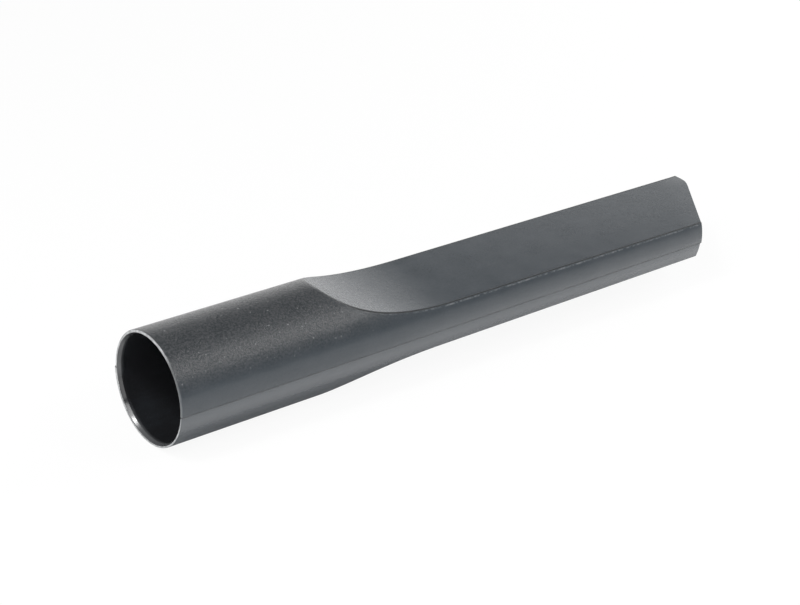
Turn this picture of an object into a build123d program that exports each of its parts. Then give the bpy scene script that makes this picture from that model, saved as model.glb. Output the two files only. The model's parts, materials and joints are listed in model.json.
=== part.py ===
"""Crevice tool for a vacuum cleaner, moulded in one piece of plastic.

A round tube takes the end of a 35 mm wand. Above and below, a scoop sweeps in from the
tube's wall to a long flat, so that the tube goes over into a low, wide nozzle whose two
sides stay the tube's own round wall. The tip is trimmed on a slant, seen from above.

The tool lies along +X: its mouth is at X = 0 and its tip at X = tool_length. The flats
face +Z and -Z, the shorter side of the tip is at -Y, and the origin is the middle of the
mouth's rim. Sizes are in millimetres, and angles in degrees.
"""

from build123d import *
import os
from math import asin, atan, cos, degrees, radians, sin, tan

# Tube: its bore takes the wand, and past it the duct draws in at the draft of the mould's core
bore_radius = 17.5
bore_depth = 45.0
core_draft = 0.1
wall = 1.5
rim_round = 0.4

# Nozzle: half its height where the upper scoop ends, and at the tip
tool_length = 249.0
nozzle_half_height = 7.75
tip_half_height = 6.85
crease_round = 0.5

# Scoops: where each leaves the tube, where it meets the flat, and how steeply it sets off
upper_scoop_start = 61.5
upper_scoop_end = 109.0
upper_scoop_angle = 39.0
lower_scoop_start = 50.0
lower_scoop_end = 103.0
lower_scoop_angle = 29.5

# Tip: the trim is square for a short way in from each side, and runs on a slant between
near_side_length = 226.0
near_square = 1.6
far_square = 7.0
tip_corner_round = 5.0

# Mould: the halves part a little below the middle, and the lower one sits off to the far side
parting_drop = 0.9
mould_shift = 0.5

# How far the cutting shapes run past the tool
overrun = 4.0

tube_radius = bore_radius + wall
flat_taper = atan((nozzle_half_height - tip_half_height) / (tool_length - upper_scoop_end))


def flat_height(x):
    """Half the nozzle's outer height at x."""
    return nozzle_half_height - tan(flat_taper) * (x - upper_scoop_end)


def draw_edge(side, scoop_start, scoop_end, scoop_angle, inset):
    """Draw one edge of the tool, seen from the front, and give its two ends.

    side is 1 for the upper edge and -1 for the lower, and inset moves the edge inwards.
    The scoop is one curve between two straight stretches, and is tangent to both.
    """
    fall = radians(scoop_angle)
    leave_x = scoop_start - inset * sin(fall)
    leave_z = tube_radius - inset * cos(fall)
    land_x = scoop_end - inset * sin(flat_taper)
    land_z = flat_height(scoop_end) - inset * cos(flat_taper)
    # The two straight stretches, run on, cross at the point that the scoop bends towards
    gap = leave_z - land_z + tan(fall) * leave_x - tan(flat_taper) * land_x
    bend_x = gap / (tan(fall) - tan(flat_taper))
    bend_z = leave_z - tan(fall) * (bend_x - leave_x)
    clear_x = leave_x - overrun / tan(fall)
    clear_z = leave_z + overrun
    past_x = tool_length + 2 * overrun
    past_z = land_z - tan(flat_taper) * (past_x - land_x)
    mouth_end = (-overrun, side * clear_z)
    tip_end = (past_x, side * past_z)
    Polyline(mouth_end, (clear_x, side * clear_z), (leave_x, side * leave_z))
    Bezier((leave_x, side * leave_z), (bend_x, side * bend_z), (land_x, side * land_z))
    Line((land_x, side * land_z), tip_end)
    return mouth_end, tip_end


def front_view(inset):
    """Outline of the tool, seen from the front, drawn past both of its ends."""
    with BuildSketch(Plane.XZ) as view:
        with BuildLine():
            upper = draw_edge(1, upper_scoop_start, upper_scoop_end, upper_scoop_angle, inset)
            lower = draw_edge(-1, lower_scoop_start, lower_scoop_end, lower_scoop_angle, inset)
            Line(upper[0], lower[0])
            Line(upper[1], lower[1])
        make_face()
    return view.sketch


# The core of the mould leaves the hollow: a round bore, then a duct one wall further in
with BuildPart() as core:
    with BuildSketch(Plane.YZ.offset(-overrun / 2)):
        Circle(bore_radius)
    extrude(amount=bore_depth + overrun / 2)
    with BuildSketch(Plane.YZ.offset(bore_depth)):
        Circle(bore_radius)
    extrude(amount=tool_length, taper=core_draft)
    extrude(front_view(wall), amount=tube_radius, both=True, mode=Mode.INTERSECT)

with BuildPart() as crevice_tool:
    # The two halves of the mould give the tube its round section and its two parting lines
    parting_angle = degrees(asin(parting_drop / tube_radius))
    with BuildSketch(Plane.YZ) as section:
        with BuildLine():
            upper_half = CenterArc((0, 0), tube_radius, -parting_angle, 180 + 2 * parting_angle)
            lower_half = CenterArc(
                (mould_shift, 0), tube_radius, 180 + parting_angle, 180 - 2 * parting_angle
            )
            Line(upper_half @ 1, lower_half @ 0)
            Line(lower_half @ 1, upper_half @ 0)
        make_face()
    extrude(amount=tool_length + overrun)

    # The scoops and flats cut the tube down to the nozzle
    extrude(front_view(0), amount=tube_radius + overrun, both=True, mode=Mode.INTERSECT)

    # A small round along the creases, where the scoops and flats meet the round sides
    across = crevice_tool.edges().filter_by(GeomType.LINE).filter_by(Axis.Y)
    along = crevice_tool.edges().filter_by_position(Axis.X, overrun, tool_length) - across
    between_flats = along.filter_by_position(Axis.Z, -tip_half_height / 2, tip_half_height / 2)
    fillet(along - between_flats, crease_round)

    # The outer edge of the mouth is rounded over
    rim = crevice_tool.edges().group_by(Axis.X)[0].filter_by(GeomType.CIRCLE)
    fillet(rim, rim_round)

    # The tip is trimmed, seen from above
    with BuildSketch(Plane.XY) as tip_waste:
        beside = tube_radius + overrun
        past = tool_length + 2 * overrun
        slant_end = (tool_length, tube_radius - far_square)
        with BuildLine():
            Polyline(
                (near_side_length, -beside),
                (near_side_length, near_square - tube_radius),
                slant_end,
                (tool_length, beside),
                (past, beside),
                (past, -beside),
                close=True,
            )
        make_face()
        fillet(tip_waste.vertices().sort_by_distance(slant_end)[0], tip_corner_round)
    extrude(amount=tube_radius, both=True, mode=Mode.SUBTRACT)

    # The hollow runs right through, from the mouth to the tip
    add(core.part, mode=Mode.SUBTRACT)

crevice_tool.part.label = "crevice_tool"
os.makedirs("parts", exist_ok=True)
export_step(crevice_tool.part, "parts/crevice_tool.step")
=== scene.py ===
"""Crevice tool for a vacuum cleaner: its skin, its plastic and a plain photo stage.

The skin follows the same rule as the CAD solid. Two half rounds, one above the other, are
cut down by a scoop and a flat each, the hollow follows one wall further in, and the tip
is trimmed on a slant. Sizes are in metres, and the tool lies along +X from its mouth.
"""

import json
import math

import bmesh
import bpy
from bpy.props import FloatProperty, FloatVectorProperty, IntProperty, PointerProperty
from mathutils import Matrix, Vector


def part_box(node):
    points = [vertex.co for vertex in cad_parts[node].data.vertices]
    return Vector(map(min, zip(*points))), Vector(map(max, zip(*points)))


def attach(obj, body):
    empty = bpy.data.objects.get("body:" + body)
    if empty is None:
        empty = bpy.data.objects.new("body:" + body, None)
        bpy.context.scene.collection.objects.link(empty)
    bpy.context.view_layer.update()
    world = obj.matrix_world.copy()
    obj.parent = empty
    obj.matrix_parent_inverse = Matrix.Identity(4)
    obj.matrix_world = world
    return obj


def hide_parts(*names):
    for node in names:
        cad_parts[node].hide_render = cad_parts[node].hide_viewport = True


bl_info = {
    "name": "Crevice tool",
    "version": (1, 0, 0),
    "blender": (4, 5, 0),
    "location": "View3D > Sidebar > Crevice tool",
    "description": "Makes a moulded crevice tool for a vacuum cleaner and a plain stage for it",
    "category": "Add Mesh",
}

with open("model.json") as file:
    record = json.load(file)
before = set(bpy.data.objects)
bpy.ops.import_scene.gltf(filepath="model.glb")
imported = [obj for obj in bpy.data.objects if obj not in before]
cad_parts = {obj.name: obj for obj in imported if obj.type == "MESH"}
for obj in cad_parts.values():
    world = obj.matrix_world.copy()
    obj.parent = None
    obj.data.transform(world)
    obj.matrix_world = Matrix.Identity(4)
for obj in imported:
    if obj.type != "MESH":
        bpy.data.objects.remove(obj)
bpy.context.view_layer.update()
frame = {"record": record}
tool_low, tool_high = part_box("crevice_tool")
wand_socket = frame["record"]["mounts"][0]["dims"]

MM = 0.001
bore = wand_socket["r_mm"] * MM

# A point this far from a crease counts as clear of it
FAR_OFF = 2.0 * MM

# Close to a parting line a column's line is level and would never meet the flat, so it is
# taken to rise at least this much
LEAST_RISE = 0.05

# The flat ends of the mouth and the tip have a row of points this far in from their edges, so
# that they shade flat
END_MARGIN = 0.04 * MM

# Points closer than this are one point, and a face is hollow only where all its points are
MERGE_GAP = 0.001 * MM
HOLLOW_LIMIT = 0.6

# Where the outside's finish changes along the tool: each pair goes from none to full
NOZZLE_FINISH = (62.0 * MM, 102.0 * MM)
# The painted shade under the creases sets in along here
CREASE_SHADE_ALONG = (63.0 * MM, 71.0 * MM)
# The scoop's pale patch of wear and painted sheen runs between these
SHEEN_AND_RUB_FROM = (61.0 * MM, 69.0 * MM)
SHEEN_AND_RUB_UP_TO = (90.0 * MM, 72.0 * MM)
RIM_FACE = (0.25 * MM, 0.1 * MM)

# Where it changes across the tool, towards the near side
SMOOTH_SIDE = (-4.0 * MM, -10.0 * MM)
SPARED_SIDE = (-8.0 * MM, -12.5 * MM)

# Where it changes with height
SMOOTH_BELOW = (12.0 * MM, 6.0 * MM)
POLISHED_BELOW = (4.5 * MM, 0.0)
SPARED_ABOVE = (-5.0 * MM, 0.0)
LOWER_HALF = (-0.8 * MM, -1.0 * MM)
ABOVE_BASE = (-8.0 * MM, -4.0 * MM)
UNDERSIDE = (-6.5 * MM, -10.5 * MM)

# Where the inside's painted light changes: the lip, painted grey as if lit, and the part of it
# that is painted in shade
LIP = (2.2 * MM, 1.0 * MM)
LIP_SHADE_SIDE = (11.0 * MM, 14.0 * MM)
LIP_SHADE_BELOW = (-1.0 * MM, -4.0 * MM)

# How wide the lumps of each pattern are
PATCH_WIDTH = 9.0 * MM
WANDER_WIDTH = 3.0 * MM
SCUFF_WIDTH = 1.6 * MM
SPECK_WIDTH = 1.1 * MM
HAZE_WIDTH = 11.0 * MM
MARK_WIDTH = 0.8 * MM

# Noise runs from 0 to 1 about this middle
NOISE_MIDDLE = 0.5

# The inside's draw marks are drawn out to 25 times their width
MARK_STRETCH = (0.04, 1.0, 1.0)

# The seam's painted shade, the painted shade under the creases and the painted glints fade out
# at this many times their half widths
SEAM_FADE = 1.35
SHADE_LINE_FADE = 1.3
GLINT_FADE = 1.3

# The line of painted shade under a crease lies this many half widths under it, and is this much
# thinner on the nozzle
SHADE_LINE_DROP = 0.7
SHADE_LINE_THINNING = 0.45

# Pale painted glints run along this far below a crease, in a band of this half width, where the
# scuffs' noise rises from the first value to the second
GLINT_DROP = 0.55 * MM
GLINT_WIDTH = 0.25 * MM
GLINT_NOISE_RANGE = (0.4222, 0.6444)

# A scoop's finish starts this far inside its crease, and a speck's edge takes this much noise
CREASE_BLEND = 0.4 * MM
SPECK_EDGE = 0.0833

# How strongly noise breaks up the scoop's pale patch, the rim's wear and the lip's painted light
PATCHY_SCUFFS = 1.8
PATCHY_GRAIN = 2.2
PATCH_SPREAD = 1.5

# What each pattern does to the tone, which is 0 for the plastic's own colour and 1 for its
# pale one
TONE_MIDDLE = 0.5
SMOOTH_CONTRAST = 0.4
PATCH_TONE = 0.6
# Painted light: how much paler the lower half is under its parting line, as if lit from the floor
LOWER_PAINTED_LIGHT = 0.5

# What each pattern adds to the outside's roughness, and how rough the polish over it is
PATCH_ROUGHNESS = 0.1
GRAIN_ROUGHNESS = 0.1
SCUFF_ROUGHNESS = 0.5
RIM_ROUGHNESS = 0.1
LINE_ROUGHNESS = 0.45
UNDERSIDE_ROUGHNESS = 0.3
POLISH_ROUGHNESS = 0.2

# How high each pattern stands, as a share of the grain
FINE_HEIGHT = 0.3
SCUFF_HEIGHT = 0.45
WANDER_HEIGHT = 0.08

# How much of the lip is painted lighter as if lit, and how much of that is taken back where it is
# painted in shade
LIP_LIGHT = 0.7
LIP_SHADE_SHARE = 0.8

# How pale haze and draw marks make the inside, from this much haze on
HAZE_START = 0.45
HAZE_TONE = 0.7
MARK_TONE = 0.5

# What each pattern adds to the inside's roughness, and how strongly the inside mirrors
HAZE_ROUGHNESS = 0.12
MARK_ROUGHNESS = 0.08
LIP_ROUGHNESS = 0.1
HOLLOW_MIRROR = 0.75

# Each lamp's direction from the tool's middle, its width and its height
LAMPS = {
    "left": ((-0.7, -0.2, 0.6), 0.6, 0.6),
    "over": ((-0.539, -0.05, 0.84), 0.14, 0.14),
    "right": ((0.95, 0.0, 0.3), 0.6, 0.6),
    "side": ((0.8, -0.45, 0.35), 0.5, 0.4),
    "front": ((0.45, -0.8, 1.0), 0.22, 0.22),
    "low": ((-0.3, -0.9, 0.2), 0.9, 0.6),
    "back": ((0.5, 0.8, 0.15), 0.8, 0.4),
}

# The camera stands where the photo's did, as fitted to the tool's edges
CAMERA_PLACE = Vector((-0.2668, -0.4273, 0.2952))
CAMERA_DIRECTION = Vector((0.57638, 0.67386, -0.46228))
CAMERA_UP = Vector((0.25067, 0.39263, 0.88488))


def length_property(name, description, default):
    """A property that holds one size of the tool."""
    return FloatProperty(
        name=name, description=description, default=default, min=0.0, unit="LENGTH", precision=5
    )


def angle_property(name, description, degrees):
    """A property that holds one angle of the tool."""
    return FloatProperty(
        name=name, description=description, default=math.radians(degrees), unit="ROTATION"
    )


def colour_property(name, description, default):
    """A property that holds one colour."""
    return FloatVectorProperty(
        name=name, description=description, default=default, size=3, subtype="COLOR", min=0, max=1
    )


def share_property(name, description, default):
    """A property that holds a share from 0 to 1."""
    return FloatProperty(
        name=name, description=description, default=default, min=0.0, max=1.0, subtype="FACTOR"
    )


def strength_property(name, description, default):
    """A property that holds a strength. A light of strength 1 is white."""
    return FloatProperty(name=name, description=description, default=default, min=0.0)


def count_property(name, description, default):
    """A property that holds how finely the skin is divided."""
    return IntProperty(name=name, description=description, default=default, min=2)


class ToolSizes(bpy.types.PropertyGroup):
    """Sizes of the tool. Each one is an input of the skin's node tree."""

    tool_length: length_property("Length", "From the mouth to the tip", tool_high.x - tool_low.x)
    bore_radius: length_property("Bore radius", "Radius of the bore, which takes the wand", bore)
    bore_depth: length_property(
        "Bore depth", "How far the wand goes in", wand_socket["length_mm"] * MM
    )
    core_draft: angle_property("Core draft", "Draft of the hollow past the bore", 0.1)
    wall: length_property("Wall", "Thickness of the wall", tool_high.z - bore)
    nozzle_half_height: length_property(
        "Nozzle half height", "Half the nozzle's height where its upper scoop ends", 7.75 * MM
    )
    tip_half_height: length_property("Tip half height", "Half the height at the tip", 6.85 * MM)
    upper_scoop_start: length_property(
        "Upper scoop start", "Where the upper scoop leaves the tube", 61.5 * MM
    )
    upper_scoop_end: length_property(
        "Upper scoop end", "Where the upper scoop meets the flat", 109.0 * MM
    )
    upper_scoop_angle: angle_property("Upper scoop angle", "How steeply it sets off", 39.0)
    lower_scoop_start: length_property(
        "Lower scoop start", "Where the lower scoop leaves the tube", 50.0 * MM
    )
    lower_scoop_end: length_property(
        "Lower scoop end", "Where the lower scoop meets the flat", 103.0 * MM
    )
    lower_scoop_angle: angle_property("Lower scoop angle", "How steeply it sets off", 29.5)
    near_side_length: length_property(
        "Near side length", "From the mouth to the tip's shorter side", 226.0 * MM
    )
    near_square: length_property(
        "Near square", "How far in from the short side the tip is cut square", 1.6 * MM
    )
    far_square: length_property(
        "Far square", "How far in from the long side the tip is cut square", 7.0 * MM
    )
    tip_ease: length_property("Tip ease", "How much the tip's blunt corner is eased", 3.2 * MM)
    parting_drop: length_property(
        "Parting drop", "How far below the middle the halves part", 0.9 * MM
    )
    mould_shift: length_property(
        "Mould shift", "How far the lower half sits off to the far side", 0.5 * MM
    )
    parting_round: length_property(
        "Parting round", "Round of the halves' edges along the parting lines", 0.15 * MM
    )
    crease_ease: length_property("Crease ease", "How much the outer creases are eased", 0.4 * MM)
    start_ease: length_property(
        "Start ease", "How much more the creases are eased where a scoop starts", 1.2 * MM
    )
    start_fade: length_property("Start fade", "How far on that ease runs out", 9.0 * MM)
    hollow_ease: length_property("Hollow ease", "How much the inner creases are eased", 0.4 * MM)
    rim_round: length_property("Rim round", "Round of the mouth's outer edge", 0.4 * MM)
    lip_round: length_property("Lip round", "How much the mouth opens at its inner edge", 0.6 * MM)
    lip_depth: length_property("Lip depth", "How far in the opening of the mouth runs", 1.15 * MM)
    tip_round: length_property("Tip round", "Round of the tip's edges", 0.2 * MM)
    side_columns: count_property("Side columns", "Faces from a parting line to a crease", 32)
    edge_rows: count_property("Edge rows", "Faces across the round of a rim", 8)
    mouth_rows: count_property("Mouth rows", "Faces from the rim to the first scoop", 22)
    between_rows: count_property("Between rows", "Faces between the two scoops' starts", 14)
    scoop_rows: count_property("Scoop rows", "Faces along the scoops", 50)
    nozzle_rows: count_property("Nozzle rows", "Faces along the straight nozzle", 12)


class PlasticLooks(bpy.types.PropertyGroup):
    """Colours and finish of the plastic."""

    body_colour: colour_property(
        "Body colour", "Dark blue-grey of the moulded plastic", (0.029, 0.0365, 0.043)
    )
    # Also the tone of the painted light under the parting line
    pale_colour: colour_property(
        "Pale colour", "The same plastic where its grain catches dust", (0.055, 0.0635, 0.073)
    )
    hollow_colour: colour_property(
        "Hollow colour", "Colour of the smooth inside", (0.012, 0.0125, 0.014)
    )
    # Also the pale grey of the glints painted along the creases and, in part, of the scoop's
    # painted sheen
    wear_and_glint_colour: colour_property(
        "Worn colour", "Pale grey of the scuffed rim", (0.56, 0.57, 0.58)
    )
    # Painted light: the grey that the lip just inside the mouth is painted, where light falls in
    lip_light_colour: colour_property(
        "Lip colour", "Grey of the rubbed edge just inside the mouth", (0.085, 0.088, 0.092)
    )
    # Painted light: a warm tint over the grained tube that stands in for the warm light on it
    warm_light_tint: colour_property(
        "Dust tint", "What the dusty grain on the tube takes from the plastic's blue",
        (0.94, 0.85, 0.79),
    )
    # Painted shade: the near black of the painted seam and of the line painted under the creases
    shade_line_colour: colour_property(
        "Line colour", "Near black of the seam and of the dust under the creases",
        (0.004, 0.005, 0.0065),
    )
    speck_limit: share_property(
        "Speck limit", "How rare the pale specks are: the higher, the fewer", 0.77
    )
    crease_width: length_property(
        "Crease width", "Half the width of the dark line under the scoop's crease", 0.36 * MM
    )
    seam_width: length_property("Seam width", "Half the width of the dark seam", 0.26 * MM)
    seam_wander: length_property("Seam wander", "How far the seam strays", 0.35 * MM)
    roughness: share_property("Roughness", "Roughness of the outside", 0.22)
    lower_polish: share_property(
        "Lower polish", "How shiny the lower half is under its parting line", 0.85
    )
    side_polish: share_property(
        "Side polish", "How shiny the tube's side is over its parting line", 0.35
    )
    nozzle_polish: share_property(
        "Nozzle polish", "How much more the nozzle's side shines than the tube's", 0.6
    )
    hollow_roughness: share_property("Hollow roughness", "Roughness of the inside", 0.12)
    rim_wear: share_property("Rim wear", "How much of the mouth's rim is scuffed", 0.6)
    rim_spared: share_property(
        "Rim spared", "How little the rim is scuffed high on the near side", 0.85
    )
    # Partly painted sheen: the scoop's start is painted pale for its wear and for the sheen it
    # catches
    rub_and_sheen: share_property("Rubbing", "How pale the upper scoop is rubbed where it starts", 0.24)
    # Painted highlight: how pale the glints painted along the nozzle's creases are
    crease_glint_paleness: share_property("Nick wear", "How pale the nicks along the creases are", 0.2)
    speck_wear: share_property("Speck wear", "How pale the specks are", 0.25)
    grain_size: length_property("Grain size", "Width of one grain of the outside", 0.62 * MM)
    grain_depth: length_property("Grain depth", "Depth of the outside's grain", 0.17 * MM)
    grain_contrast: strength_property(
        "Grain contrast", "How much the deepest grain changes the colour", 4.2
    )
    nozzle_smoothness: share_property(
        "Nozzle smoothness", "How much of the grain is gone on the nozzle", 0.9
    )
    side_smoothness: share_property(
        "Side smoothness", "How much of the grain is gone low on the near side", 0.97
    )
    hollow_depth: length_property("Hollow depth", "Depth of the inside's marks", 0.006 * MM)


class StageLooks(bpy.types.PropertyGroup):
    """Floor, light and camera."""

    floor_colour: colour_property("Floor colour", "Pale colour of the floor", (0.86, 0.86, 0.86))
    floor_roughness: share_property("Floor roughness", "How dull the floor is", 0.9)
    floor_half_width: length_property("Floor half width", "Half the width of the floor", 6.0)
    floor_white: share_property(
        "Floor white", "How much of the floor is plain white to the camera", 0.92
    )
    sky_light: strength_property("Sky light", "Even light from all round", 0.15)
    left_light: strength_property("Left light", "Softbox high on the mouth's side", 3.6)
    over_light: strength_property("Over light", "Small bright lamp overhead", 32.0)
    right_light: strength_property("Right light", "Softbox low past the tip", 4.7)
    side_light: strength_property("Side light", "Softbox at the front on the right", 1.4)
    front_light: strength_property("Front light", "Small softbox high in front", 8.0)
    low_light: strength_property("Low light", "Softbox low in front on the left", 1.3)
    back_light: strength_property("Back light", "Softbox low behind", 1.1)
    lamp_distance: length_property("Lamp distance", "From the tool's middle to the lamps", 0.8)
    lens: FloatProperty(
        name="Lens", description="Focal length of the camera", default=85.3, unit="CAMERA"
    )


class Wire:
    """A value in a node tree that Python's own arithmetic works on."""

    def __init__(self, net, socket):
        self.net = net
        self.socket = socket

    def __add__(self, other):
        return self.net.maths("ADD", self, other)

    def __radd__(self, other):
        return self.net.maths("ADD", other, self)

    def __sub__(self, other):
        return self.net.maths("SUBTRACT", self, other)

    def __rsub__(self, other):
        return self.net.maths("SUBTRACT", other, self)

    def __mul__(self, other):
        return self.net.maths("MULTIPLY", self, other)

    def __rmul__(self, other):
        return self.net.maths("MULTIPLY", other, self)

    def __truediv__(self, other):
        return self.net.maths("DIVIDE", self, other)

    def __rtruediv__(self, other):
        return self.net.maths("DIVIDE", other, self)

    def __mod__(self, other):
        return self.net.maths("MODULO", self, other)


class Net:
    """Builds one node tree."""

    def __init__(self, tree):
        self.tree = tree

    def node(self, kind, settings=None, values=None, output=0):
        """Add a node: its settings come first, then the value or link of each socket."""
        made = self.tree.nodes.new(kind)
        for name, setting in (settings or {}).items():
            setattr(made, name, setting)
        for key, value in (values or {}).items():
            socket = self.find(made.inputs, key)
            if isinstance(value, Wire):
                self.tree.links.new(value.socket, socket)
            else:
                socket.default_value = value
        return Wire(self, self.find(made.outputs, output))

    def find(self, sockets, key):
        """A node's socket by its place, or by its name among those in use."""
        if isinstance(key, int):
            return sockets[key]
        return next(socket for socket in sockets if socket.name == key and socket.enabled)

    def maths(self, operation, *terms):
        """A Math node: its terms are numbers or wires."""
        return self.node("ShaderNodeMath", {"operation": operation}, dict(enumerate(terms)))

    def smallest(self, first, second):
        """The smaller of two values."""
        return self.maths("MINIMUM", first, second)

    def largest(self, first, second):
        """The larger of two values."""
        return self.maths("MAXIMUM", first, second)

    def clamped(self, value, low=0.0, high=1.0):
        """A value held between low and high."""
        return self.smallest(self.largest(value, low), high)

    def rise(self, value, start, end):
        """Go from 0 to 1 as value goes from start to end."""
        return self.clamped((value - start) / (end - start))

    def band(self, value, half_width, fade):
        """1 where value is near 0, and 0 from fade times the half width on, either way."""
        return self.clamped(fade - self.maths("ABSOLUTE", value) / half_width)

    def slow_ends(self, value):
        """Go from 0 to 1 as value does, slowly at both ends."""
        held = self.clamped(value)
        return held * held * (3.0 - 2.0 * held)

    def mix(self, share, first, second):
        """Go from first to second as share goes from 0 to 1."""
        return first + (second - first) * share

    def vector(self, x, y, z):
        """A vector of three parts."""
        return self.node("ShaderNodeCombineXYZ", None, {0: x, 1: y, 2: z})

    def parts(self, vector):
        """The three parts of a vector."""
        return [self.node("ShaderNodeSeparateXYZ", None, {0: vector}, part) for part in "XYZ"]

    def noise(self, place, width, detail, roughness):
        """Soft noise whose lumps are about this wide."""
        values = {"Vector": place, "Scale": 1.0 / width, "Detail": detail, "Roughness": roughness}
        return self.node("ShaderNodeTexNoise", {"noise_dimensions": "3D"}, values, "Fac")

    def store(self, geometry, name, value):
        """Keep a value at each point of the mesh under a name."""
        settings = {"data_type": "FLOAT", "domain": "POINT"}
        values = {"Geometry": geometry, "Name": name, "Value": value}
        return self.node("GeometryNodeStoreNamedAttribute", settings, values)

    def colour_mix(self, share, first, second, blend="MIX"):
        """Put the second colour over the first by a share."""
        settings = {"data_type": "RGBA", "blend_type": blend}
        return self.node(
            "ShaderNodeMix", settings, {"Factor": share, "A": first, "B": second}, "Result"
        )

    def bump(self, depth, height):
        """A surface that stands up by depth where height is 1."""
        values = {"Strength": 1.0, "Distance": depth, "Height": height}
        return self.node("ShaderNodeBump", None, values, "Normal")


def opaque(colour):
    """A property's colour with the alpha that node sockets ask for."""
    return (*colour, 1.0)


def scoop_height(net, size, x, lower, inset):
    """Height of the scoop and the flat behind it at x, moved in by inset.

    The scoop is one curve with three handles: where it leaves the tube, where it lands on
    the flat, and the point between, where the two straight stretches would cross.
    """
    start = net.mix(lower, size["upper_scoop_start"], size["lower_scoop_start"])
    end = net.mix(lower, size["upper_scoop_end"], size["lower_scoop_end"])
    fall = net.mix(lower, size["upper_scoop_angle"], size["lower_scoop_angle"])
    steep = net.maths("TANGENT", fall)
    drop = size["nozzle_half_height"] - size["tip_half_height"]
    taper = drop / (size["tool_length"] - size["upper_scoop_end"])
    taper_cosine = 1.0 / net.maths("SQRT", 1.0 + taper * taper)
    leave_x = start - inset * net.maths("SINE", fall)
    leave_z = size["bore_radius"] + size["wall"] - inset * net.maths("COSINE", fall)
    land_x = end - inset * taper * taper_cosine
    flat_z = size["nozzle_half_height"] - taper * (end - size["upper_scoop_end"])
    land_z = flat_z - inset * taper_cosine
    bend_x = (leave_z - land_z + steep * leave_x - taper * land_x) / (steep - taper)
    bend_z = leave_z - steep * (bend_x - leave_x)
    along = net.smallest(net.largest(x, leave_x), land_x) - leave_x
    first_pull = 2.0 * (bend_x - leave_x)
    curl = leave_x - 2.0 * bend_x + land_x
    root = net.maths("SQRT", first_pull * first_pull + 4.0 * curl * along)
    t = 2.0 * along / (first_pull + root)
    rest = 1.0 - t
    curve = rest * rest * leave_z + 2.0 * t * rest * bend_z + t * t * land_z
    before = steep * net.largest(leave_x - x, 0.0)
    beyond = taper * net.largest(x - land_x, 0.0)
    return curve + before - beyond


def section_point(net, size, x, turn, lower, inner, shrink):
    """Where one column of the skin passes through the section at x.

    turn runs 0 to 1 up the far side, 1 to 2 over the flat and 2 to 3 down the near side.
    The column points at the crease or keeps its share of the side, and the skin lies where
    that line meets the round wall or the flat, whichever is nearer. The third value given
    is how far the point lies below the crease, and is less than 0 on a scoop or a flat.
    """
    inset = size["wall"] * inner
    past_bore = net.largest(x - size["bore_depth"], 0.0)
    hollow_radius = size["bore_radius"] - past_bore * net.maths("TANGENT", size["core_draft"])
    outer_radius = size["bore_radius"] + size["wall"]
    radius = net.mix(inner, outer_radius, hollow_radius)
    height = scoop_height(net, size, x, lower, inset)
    crease = net.maths("ARCSINE", net.smallest(height / radius, 1.0))
    parting = net.maths("ARCSINE", size["parting_drop"] / outer_radius)
    edge = parting * (2.0 * lower - 1.0)
    share = net.slow_ends(net.smallest(turn, 3.0 - turn))
    angle = net.mix(share, edge, crease)
    across = 1.0 - 2.0 * net.slow_ends(turn - 1.0)
    aim_y = net.maths("COSINE", angle) * across
    aim_z = net.maths("SINE", angle)
    reach = net.maths("SQRT", aim_y * aim_y + aim_z * aim_z)
    rise = aim_z / reach
    scoop_start = net.mix(lower, size["upper_scoop_start"], size["lower_scoop_start"])
    fade = 1.0 - net.clamped((x - scoop_start) / size["start_fade"])
    ease = net.mix(inner, size["crease_ease"] + fade * size["start_ease"], size["hollow_ease"])
    steepness = net.largest(rise, LEAST_RISE)
    flat_distance = (height - shrink) / steepness
    from_parting = radius * net.maths("ABSOLUTE", angle - edge)
    near_parting = net.clamped(1.0 - from_parting / size["parting_round"])
    groove = 1.0 - net.maths("SQRT", 1.0 - near_parting * near_parting)
    shrink = shrink + groove * size["parting_round"] * (1.0 - inner)
    distance = net.maths("SMOOTH_MIN", radius - shrink, flat_distance, ease)
    shift = size["mould_shift"] * lower * (1.0 - inner)
    y = shift + distance * aim_y / reach
    z = distance * rise * (1.0 - 2.0 * lower)
    below_crease = net.clamped((flat_distance - radius) * steepness, -FAR_OFF, FAR_OFF)
    return y, z, net.mix(inner, below_crease, FAR_OFF)


def trim_length(net, size, y):
    """Where the tip's slanted trim ends the tool, for a point this far across."""
    outer_radius = size["bore_radius"] + size["wall"]
    slant_start = size["near_square"] - outer_radius
    slant_end = outer_radius - size["far_square"]
    slope = (size["tool_length"] - size["near_side_length"]) / (slant_end - slant_start)
    slant = size["near_side_length"] + (y - slant_start) * slope
    eased = net.maths("SMOOTH_MIN", slant, size["tool_length"], size["tip_ease"])
    return net.largest(eased, size["near_side_length"])


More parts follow.
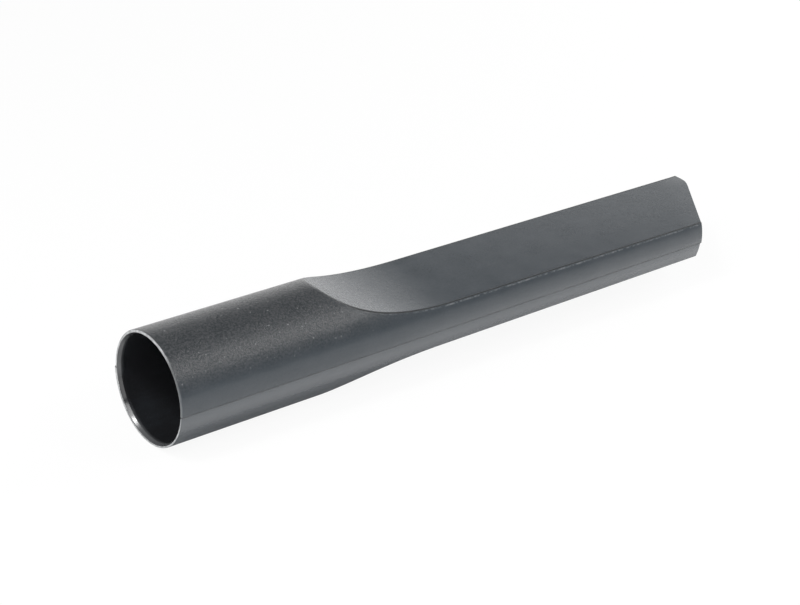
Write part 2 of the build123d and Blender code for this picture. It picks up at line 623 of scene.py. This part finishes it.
def build_skin_tree(sizes, outside, inside):
    """Node tree that lays one grid all over the tool, in and out, and gives its input names.

    A grid's rows run from the mouth's rim along the outside to the tip and back along the
    inside to the rim. Its columns run round the section: over the upper half from the far
    side to the near one, and back under the lower half.
    """
    tree = bpy.data.node_groups.new("crevice_tool_skin", "GeometryNodeTree")
    net = Net(tree)
    inputs = {}
    for name, prop in sizes.bl_rna.properties.items():
        if prop.type in {"FLOAT", "INT"}:
            kind = "NodeSocketFloat" if prop.type == "FLOAT" else "NodeSocketInt"
            inputs[name] = tree.interface.new_socket(prop.name, in_out="INPUT", socket_type=kind)
    tree.interface.new_socket("Skin", in_out="OUTPUT", socket_type="NodeSocketGeometry")
    given = tree.nodes.new("NodeGroupInput")
    size = {name: Wire(net, given.outputs[place]) for place, name in enumerate(inputs)}

    side = size["side_columns"]
    half_columns = side * 3 + 1
    columns = half_columns * 2
    edge = size["edge_rows"]
    rim_end = edge + 1
    lower_start = rim_end + size["mouth_rows"]
    upper_start = lower_start + size["between_rows"]
    nozzle_start = upper_start + size["scoop_rows"]
    tip_start = nozzle_start + size["nozzle_rows"]
    last = tip_start + edge + 1
    rows = (last + 1) * 2

    index = net.node("GeometryNodeInputIndex")
    row = net.maths("FLOOR", (index + 0.5) / (columns + 1)) % rows
    column = (index % (columns + 1)) % columns
    inner = net.maths("GREATER_THAN", row, last + 0.5)
    step = net.mix(inner, row, rows - 1 - row)
    lower = net.maths("GREATER_THAN", column, half_columns - 0.5)
    turn_there = (column - half_columns * lower) / side
    turn = net.mix(lower, turn_there, 3.0 - turn_there)

    quarter = math.pi / 2
    rim = net.mix(inner, size["rim_round"], size["lip_round"])
    rim_depth = net.mix(inner, size["rim_round"], size["lip_depth"])
    tip = size["tip_round"]
    rim_turn = net.clamped((step - 1) / edge) * quarter
    tip_turn = net.clamped((step - tip_start) / edge) * quarter
    margin = END_MARGIN * (1.0 - net.clamped(step) + net.clamped(step - (last - 1)))
    rim_fall = net.mix(inner, 1.0 - net.maths("SINE", rim_turn), 1.0 - rim_turn / quarter)
    rim_run = net.mix(inner, 1.0 - net.maths("COSINE", rim_turn), rim_turn / quarter)
    rounding = rim * rim_fall + tip * (1.0 - net.maths("COSINE", tip_turn))
    shrink = (rounding + margin) * (1.0 - 2.0 * inner)

    def stretch(first_row, last_row):
        """How far the row is on its way from the first row to the last, from 0 to 1."""
        return (step - first_row) / (last_row - first_row)

    middle = (size["near_side_length"] + size["tool_length"]) / 2
    nominal_y, _, _ = section_point(net, size, middle, turn, lower, inner, shrink)
    end = trim_length(net, size, nominal_y)
    x = (
        rim_depth * rim_run
        + (size["lower_scoop_start"] - rim_depth) * net.slow_ends(stretch(rim_end, lower_start))
        + (size["upper_scoop_start"] - size["lower_scoop_start"])
        * net.slow_ends(stretch(lower_start, upper_start))
        + (size["upper_scoop_end"] - size["upper_scoop_start"])
        * net.slow_ends(stretch(upper_start, nozzle_start))
        + (end - tip - size["upper_scoop_end"]) * net.clamped(stretch(nozzle_start, tip_start))
        + tip * net.maths("SINE", tip_turn)
    )
    y, z, crease = section_point(net, size, x, turn, lower, inner, shrink)

    grid = net.node(
        "GeometryNodeMeshGrid", None, {"Vertices X": rows + 1, "Vertices Y": columns + 1}
    )
    placed = net.node(
        "GeometryNodeSetPosition", None, {"Geometry": grid, "Position": net.vector(x, y, z)}
    )
    marked = net.store(net.store(placed, "hollow", inner), "crease", crease)
    merged = net.node(
        "GeometryNodeMergeByDistance", None, {"Geometry": marked, "Distance": MERGE_GAP}
    )
    smooth = net.node(
        "GeometryNodeSetShadeSmooth", None, {"Geometry": merged, "Shade Smooth": True}
    )
    real = net.node("GeometryNodeRealizeInstances", None, {"Geometry": smooth})
    plain = net.node("GeometryNodeSetMaterial", None, {"Geometry": real, "Material": outside})
    is_hollow = net.node(
        "GeometryNodeInputNamedAttribute", {"data_type": "FLOAT"}, {"Name": "hollow"}, "Attribute"
    )
    chosen = net.maths("GREATER_THAN", is_hollow, HOLLOW_LIMIT)
    dressed = net.node(
        "GeometryNodeSetMaterial", None,
        {"Geometry": plain, "Selection": chosen, "Material": inside},
    )
    result = tree.nodes.new("NodeGroupOutput")
    tree.links.new(dressed.socket, result.inputs[0])
    return tree, inputs


def object_coordinates(net):
    """A point's place on the tool, in metres."""
    return net.node("ShaderNodeTexCoord", None, None, "Object")


def start_material(name):
    """A new material, the net of its tree and its shader."""
    material = bpy.data.materials.new(name)
    material.use_nodes = True
    shader = material.node_tree.nodes["Principled BSDF"]
    return material, Net(material.node_tree), shader


def make_outside_plastic(looks, sizes):
    """Outside: spark grain, gloss that wanders, a seam and crease darkened as painted shade,
    painted glints, sheen and light, and a scuffed rim.
    """
    material, net, shader = start_material("grained_plastic")
    link = net.tree.links.new
    place = object_coordinates(net)
    along, across, height = net.parts(place)
    below_crease = net.node("ShaderNodeAttribute", {"attribute_name": "crease"}, None, "Fac")
    on_nozzle = net.rise(along, *NOZZLE_FINISH)
    cut_away = net.rise(below_crease, 0.0, -CREASE_BLEND)
    on_scoop = cut_away * (1.0 - on_nozzle)
    below_parting = net.rise(height, *LOWER_HALF)
    above_base = net.rise(height, *ABOVE_BASE)

    grain = net.noise(place, looks.grain_size, detail=2.0, roughness=0.6)
    fine_grain = net.noise(place, looks.grain_size / 3.0, detail=1.0, roughness=0.5)
    patches = net.noise(place, PATCH_WIDTH, detail=3.0, roughness=0.55) - NOISE_MIDDLE
    wander = net.noise(place, WANDER_WIDTH, detail=2.0, roughness=0.5) - NOISE_MIDDLE
    scuff = net.noise(place, SCUFF_WIDTH, detail=3.0, roughness=0.6)
    dust = net.noise(place, SPECK_WIDTH, detail=0.0, roughness=0.5)

    # The grain is deepest over the top of the tube, and fades on the nozzle and down the side
    low_down = net.rise(height, *SMOOTH_BELOW) * net.rise(across, *SMOOTH_SIDE)
    kept_on_nozzle = 1.0 - looks.nozzle_smoothness * on_nozzle
    depth = kept_on_nozzle * (1.0 - looks.side_smoothness * low_down)

    # Painted shade: a thin near-black seam is painted along the parting line of the mould's
    # halves, where shade falls at the step, and it strays a little
    from_seam = height + sizes.parting_drop + wander * looks.seam_wander
    seam = net.band(from_seam, looks.seam_width, SEAM_FADE)

    # Painted shade: a near-black line is painted under the creases, closer to them on the nozzle,
    # with painted pale glints along it
    shade_drop = (1.0 - on_nozzle) * looks.crease_width * SHADE_LINE_DROP
    shade_width = looks.crease_width * (1.0 - SHADE_LINE_THINNING * on_nozzle)
    crease_shade = net.band(below_crease - shade_drop, shade_width, SHADE_LINE_FADE)
    line = net.largest(seam, crease_shade * net.rise(along, *CREASE_SHADE_ALONG))
    glint_band = net.band(below_crease - GLINT_DROP, GLINT_WIDTH, GLINT_FADE)
    crease_glints = glint_band * on_nozzle * net.rise(scuff, *GLINT_NOISE_RANGE)

    # A few pale specks of dust lie on the tube
    specks = net.rise(dust, looks.speck_limit, looks.speck_limit + SPECK_EDGE) * depth

    # The scoop is painted pale in patches where it starts: partly wear, partly painted sheen where
    # it catches the light
    mottle = (scuff - NOISE_MIDDLE) * on_scoop
    near_start = net.rise(along, *SHEEN_AND_RUB_FROM) * net.rise(along, *SHEEN_AND_RUB_UP_TO)
    broken = mottle * PATCHY_SCUFFS + (grain - NOISE_MIDDLE) * PATCHY_GRAIN
    patchy = net.clamped(0.5 + broken)
    lightened = on_scoop * near_start * patchy * looks.rub_and_sheen

    # The wand scuffs the mouth's rim, but not where the rim is high on the near side
    rim = net.rise(along, *RIM_FACE)
    spared = net.rise(across, *SPARED_SIDE) * net.rise(height, *SPARED_ABOVE)
    scuffed = net.clamped(looks.rim_wear + (scuff - NOISE_MIDDLE) * PATCH_SPREAD)
    worn = rim * scuffed * (1.0 - looks.rim_spared * spared)

    # Colour: the grain over the plastic's own tone with painted light under the parting line, then
    # a warm tint for warm light, wear, specks, painted glints and sheen, and the dark lines of
    # painted shade
    # Painted light: paler under the parting line, as if lit from the bright floor, and darker
    # again towards the base as painted shade
    painted_floor_light = below_parting * above_base * LOWER_PAINTED_LIGHT
    contrast = SMOOTH_CONTRAST + looks.grain_contrast * depth
    grain_tone = TONE_MIDDLE + (grain - NOISE_MIDDLE) * contrast
    tone = net.clamped(grain_tone + patches * PATCH_TONE + painted_floor_light)
    plain = net.colour_mix(tone, opaque(looks.body_colour), opaque(looks.pale_colour))
    # Painted light: the grained tube, less on the nozzle and low on the side and not on the
    # scoops, is tinted warm as if under a warm lamp
    warmed = depth * (1.0 - cut_away)
    tinted = net.colour_mix(warmed, plain, opaque(looks.warm_light_tint), "MULTIPLY")
    paled = net.largest(worn, crease_glints * looks.crease_glint_paleness + lightened + specks * looks.speck_wear)
    pale = net.colour_mix(paled, tinted, opaque(looks.wear_and_glint_colour))
    lined = net.colour_mix(line, pale, opaque(looks.shade_line_colour))
    link(lined.socket, shader.inputs["Base Color"])

    # Gloss: it wanders over the plastic, and is lost in the painted dark lines and on the
    # underside
    roughness = (
        looks.roughness
        + patches * PATCH_ROUGHNESS
        + (grain - NOISE_MIDDLE) * GRAIN_ROUGHNESS
        + mottle * SCUFF_ROUGHNESS
        + rim * RIM_ROUGHNESS
        + line * LINE_ROUGHNESS
        + net.rise(height, *UNDERSIDE) * UNDERSIDE_ROUGHNESS
    )
    link(roughness.socket, shader.inputs["Roughness"])

    # Polish: the mould is polished along its parting line and at the nozzle's side
    side_polish = looks.side_polish + looks.nozzle_polish * on_nozzle
    upper_polish = net.rise(height, *POLISHED_BELOW) * side_polish
    polish = net.mix(below_parting, upper_polish, above_base * looks.lower_polish)
    link((polish * (1.0 - line)).socket, shader.inputs["Coat Weight"])
    shader.inputs["Coat Roughness"].default_value = POLISH_ROUGHNESS

    # Relief: the grain, the scuffs on the scoop, and a faint wave that ends above the base
    lumps = (
        (grain + fine_grain * FINE_HEIGHT) * depth
        + mottle * SCUFF_HEIGHT
        + wander * above_base * WANDER_HEIGHT
    )
    link(net.bump(looks.grain_depth, lumps).socket, shader.inputs["Normal"])
    return material


def make_inside_plastic(looks):
    """Inside: the same plastic off a polished core, with faint draw marks along it and painted
    light on its lip.
    """
    material, net, shader = start_material("polished_plastic")
    link = net.tree.links.new
    place = object_coordinates(net)
    along, across, height = net.parts(place)
    haze = net.noise(place, HAZE_WIDTH, detail=3.0, roughness=0.5)
    stretched = net.node(
        "ShaderNodeVectorMath", {"operation": "MULTIPLY"}, {0: place, 1: MARK_STRETCH}, "Vector"
    )
    marks = net.noise(stretched, MARK_WIDTH, detail=2.0, roughness=0.6)

    # Painted light: the lip just inside the mouth is painted grey as if lit, least low on the far
    # side, where it is painted in shade
    lip_shade = net.rise(across, *LIP_SHADE_SIDE) * net.rise(height, *LIP_SHADE_BELOW)
    lightened = net.clamped(LIP_LIGHT + (haze - NOISE_MIDDLE) * PATCH_SPREAD)
    lip = net.rise(along, *LIP) * lightened * (1.0 - LIP_SHADE_SHARE * lip_shade)

    # Haze and draw marks make the inside a little paler
    hazy = (haze - HAZE_START) * HAZE_TONE
    tinted = net.clamped(hazy + (marks - NOISE_MIDDLE) * MARK_TONE)
    colour = net.colour_mix(tinted, opaque(looks.hollow_colour), opaque(looks.body_colour))
    lipped = net.colour_mix(lip, colour, opaque(looks.lip_light_colour))
    link(lipped.socket, shader.inputs["Base Color"])

    roughness = (
        looks.hollow_roughness
        + (haze - NOISE_MIDDLE) * HAZE_ROUGHNESS
        + (marks - NOISE_MIDDLE) * MARK_ROUGHNESS
        + lip * LIP_ROUGHNESS
    )
    link(roughness.socket, shader.inputs["Roughness"])
    shader.inputs["Specular IOR Level"].default_value = HOLLOW_MIRROR
    link(net.bump(looks.hollow_depth, marks + haze).socket, shader.inputs["Normal"])
    return material


def add_piece(name, data):
    """A new object at the origin that holds a mesh, a lamp or a camera."""
    piece = bpy.data.objects.new(name, data)
    bpy.context.scene.collection.objects.link(piece)
    return piece


def make_plain(piece):
    """Turn a piece's node tree into a plain mesh with its faces outward."""
    bpy.context.view_layer.update()
    shown = piece.evaluated_get(bpy.context.evaluated_depsgraph_get())
    mesh = bpy.data.meshes.new_from_object(shown)
    piece.modifiers.clear()
    piece.data = mesh
    work = bmesh.new()
    work.from_mesh(mesh)
    bmesh.ops.recalc_face_normals(work, faces=work.faces)
    work.to_mesh(mesh)
    work.free()


class CREVICE_OT_tool(bpy.types.Operator):
    """Make the moulded tool in one piece"""

    bl_idname = "crevice.tool"
    bl_label = "Make the tool"

    def execute(self, context):
        sizes = context.scene.crevice_sizes
        looks = context.scene.crevice_plastic
        outside = make_outside_plastic(looks, sizes)
        inside = make_inside_plastic(looks)
        tree, inputs = build_skin_tree(sizes, outside, inside)
        piece = add_piece("moulded_tool", bpy.data.meshes.new("moulded_tool"))
        modifier = piece.modifiers.new("skin", "NODES")
        modifier.node_group = tree
        for name, socket in inputs.items():
            modifier[socket.identifier] = getattr(sizes, name)
        make_plain(piece)
        if not piece.data.polygons:
            raise RuntimeError("the skin came out empty")
        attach(piece, "root")
        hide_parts("crevice_tool")
        return {"FINISHED"}


def aim(position, target, up=Vector((0, 0, 1))):
    """Matrix of a lamp or camera at position that looks at target."""
    back = (position - target).normalized()
    right = up.cross(back).normalized()
    over = back.cross(right)
    turned = Matrix((right, over, back)).transposed().to_4x4()
    return Matrix.Translation(position) @ turned


def add_softbox(name, stage, direction, width, height, brightness):
    """A soft rectangular lamp that shines on the tool's middle from one direction."""
    lamp = bpy.data.lights.new(name, "AREA")
    lamp.shape = "RECTANGLE"
    lamp.size = width
    lamp.size_y = height
    lamp.energy = brightness * math.pi * width * height
    middle = Vector(((tool_low.x + tool_high.x) / 2, 0, 0))
    holder = add_piece(name, lamp)
    away = Vector(direction).normalized() * stage.lamp_distance
    holder.matrix_world = aim(middle + away, middle)
    holder.visible_camera = False


def add_floor(stage):
    """Pale floor under the tool. It takes the tool's shadow, and the camera sees it white."""
    half = stage.floor_half_width
    low = tool_low.z
    corners = [(-half, -half, low), (half, -half, low), (half, half, low), (-half, half, low)]
    mesh = bpy.data.meshes.new("floor")
    mesh.from_pydata(corners, [], [(0, 1, 2, 3)])
    floor = add_piece("floor", mesh)
    material, net, shader = start_material("pale_floor")
    shader.inputs["Base Color"].default_value = opaque(stage.floor_colour)
    shader.inputs["Roughness"].default_value = stage.floor_roughness
    white = net.node("ShaderNodeEmission", None, {"Color": (1, 1, 1, 1), "Strength": 1.0})
    seen = net.node("ShaderNodeLightPath", None, None, "Is Camera Ray") * stage.floor_white
    lit = Wire(net, shader.outputs["BSDF"])
    mixed = net.node("ShaderNodeMixShader", None, {0: seen, 1: lit, 2: white})
    end = material.node_tree.nodes["Material Output"]
    material.node_tree.links.new(mixed.socket, end.inputs["Surface"])
    mesh.materials.append(material)


def add_sky(stage):
    """Even light from all round, seen as white by the camera."""
    world = bpy.data.worlds.new("studio")
    world.use_nodes = True
    net = Net(world.node_tree)
    camera_ray = net.node("ShaderNodeLightPath", None, None, "Is Camera Ray")
    strength = net.mix(camera_ray, stage.sky_light, 1.0)
    background = world.node_tree.nodes["Background"]
    background.inputs["Color"].default_value = (1, 1, 1, 1)
    world.node_tree.links.new(strength.socket, background.inputs["Strength"])
    bpy.context.scene.world = world


class CREVICE_OT_stage(bpy.types.Operator):
    """Make the floor, the soft light and the camera"""

    bl_idname = "crevice.stage"
    bl_label = "Make the stage"

    def execute(self, context):
        scene = context.scene
        stage = scene.crevice_stage
        add_floor(stage)
        add_sky(stage)
        for name, (direction, width, height) in LAMPS.items():
            brightness = getattr(stage, name + "_light")
            add_softbox(name + "_softbox", stage, direction, width, height, brightness)

        camera = bpy.data.cameras.new("camera")
        camera.lens = stage.lens
        view = add_piece("camera", camera)
        view.matrix_world = aim(CAMERA_PLACE, CAMERA_PLACE + CAMERA_DIRECTION, CAMERA_UP)
        scene.camera = view
        scene.view_settings.view_transform = "Standard"
        return {"FINISHED"}


class CREVICE_PT_panel(bpy.types.Panel):
    """Sizes, looks and steps of the tool"""

    bl_label = "Crevice tool"
    bl_space_type = "VIEW_3D"
    bl_region_type = "UI"
    bl_category = "Crevice tool"

    def draw(self, context):
        layout = self.layout
        for group in ("crevice_sizes", "crevice_plastic", "crevice_stage"):
            settings = getattr(context.scene, group)
            for name in settings.__annotations__:
                layout.prop(settings, name)
        layout.operator("crevice.tool")
        layout.operator("crevice.stage")


CLASSES = (
    ToolSizes, PlasticLooks, StageLooks, CREVICE_OT_tool, CREVICE_OT_stage, CREVICE_PT_panel
)


def register():
    """Add the classes and the three groups of settings."""
    for item in CLASSES:
        bpy.utils.register_class(item)
    bpy.types.Scene.crevice_sizes = PointerProperty(type=ToolSizes)
    bpy.types.Scene.crevice_plastic = PointerProperty(type=PlasticLooks)
    bpy.types.Scene.crevice_stage = PointerProperty(type=StageLooks)


def unregister():
    """Take the settings and the classes away again."""
    del bpy.types.Scene.crevice_stage
    del bpy.types.Scene.crevice_plastic
    del bpy.types.Scene.crevice_sizes
    for item in reversed(CLASSES):
        bpy.utils.unregister_class(item)


def main():
    """Make the tool and its stage."""
    register()
    bpy.ops.crevice.tool()
    bpy.ops.crevice.stage()


if __name__ == "__main__":
    main()
